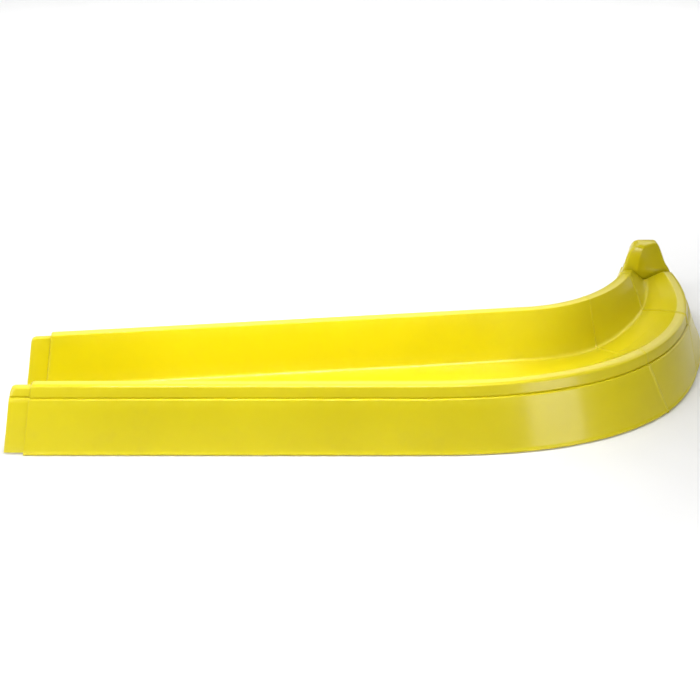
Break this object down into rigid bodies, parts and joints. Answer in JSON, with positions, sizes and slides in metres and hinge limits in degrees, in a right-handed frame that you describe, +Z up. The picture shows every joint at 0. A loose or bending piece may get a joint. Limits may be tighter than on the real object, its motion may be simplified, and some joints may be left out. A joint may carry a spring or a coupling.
{
  "type": "wave slide",
  "caption": "Yellow moulded playground slide lying on its side skirts: a long straight trough with tapering bed, a banked turn at one end and a raised rounded nose.",
  "frame": {"origin": "centre of the footprint on the ground", "axes": "+X from the spigot end towards the turned end, +Y towards the side that the slide turns to, +Z up"},
  "size_m": [3.0435, 1.264, 0.392],
  "materials": {
    "yellow_moulding": "semi-gloss rotationally moulded polyethylene with a faint orange-peel",
    "hidden_frame": "matt black recycled polyethylene plate",
    "fastener_steel": "bright zinc plating"
  },
  "bodies": {
    "root": {"bend_chute_liner": "yellow_moulding", "bend_far_side_panel": "yellow_moulding", "bend_near_side_panel": "yellow_moulding", "cross_rib_1": "hidden_frame", "cross_rib_2": "hidden_frame", "cross_rib_3": "hidden_frame", "cross_rib_4": "hidden_frame", "end_panel": "yellow_moulding", "joint_1_bolt_1": "fastener_steel", "joint_1_bolt_2": "fastener_steel", "joint_1_bolt_3": "fastener_steel", "joint_1_head_washer_1": "fastener_steel", "joint_1_head_washer_2": "fastener_steel", "joint_1_head_washer_3": "fastener_steel", "joint_1_nut_1": "fastener_steel", "joint_1_nut_2": "fastener_steel", "joint_1_nut_3": "fastener_steel", "joint_1_nut_washer_1": "fastener_steel", "joint_1_nut_washer_2": "fastener_steel", "joint_1_nut_washer_3": "fastener_steel", "joint_1_plate_a": "hidden_frame", "joint_1_plate_b": "hidden_frame", "joint_2_bolt_1": "fastener_steel", "joint_2_bolt_2": "fastener_steel", "joint_2_bolt_3": "fastener_steel", "joint_2_head_washer_1": "fastener_steel", "joint_2_head_washer_2": "fastener_steel", "joint_2_head_washer_3": "fastener_steel", "joint_2_nut_1": "fastener_steel", "joint_2_nut_2": "fastener_steel", "joint_2_nut_3": "fastener_steel", "joint_2_nut_washer_1": "fastener_steel", "joint_2_nut_washer_2": "fastener_steel", "joint_2_nut_washer_3": "fastener_steel", "joint_2_plate_a": "hidden_frame", "joint_2_plate_b": "hidden_frame", "main_chute_liner": "yellow_moulding", "main_far_side_panel": "yellow_moulding", "main_near_side_panel": "yellow_moulding", "nose_cap": "yellow_moulding", "nose_chute_liner": "yellow_moulding", "nose_far_side_panel": "yellow_moulding", "nose_near_side_panel": "yellow_moulding", "spigot_far_plate": "yellow_moulding", "spigot_liner": "yellow_moulding", "spigot_near_plate": "yellow_moulding"}
  },
  "joints": []
}
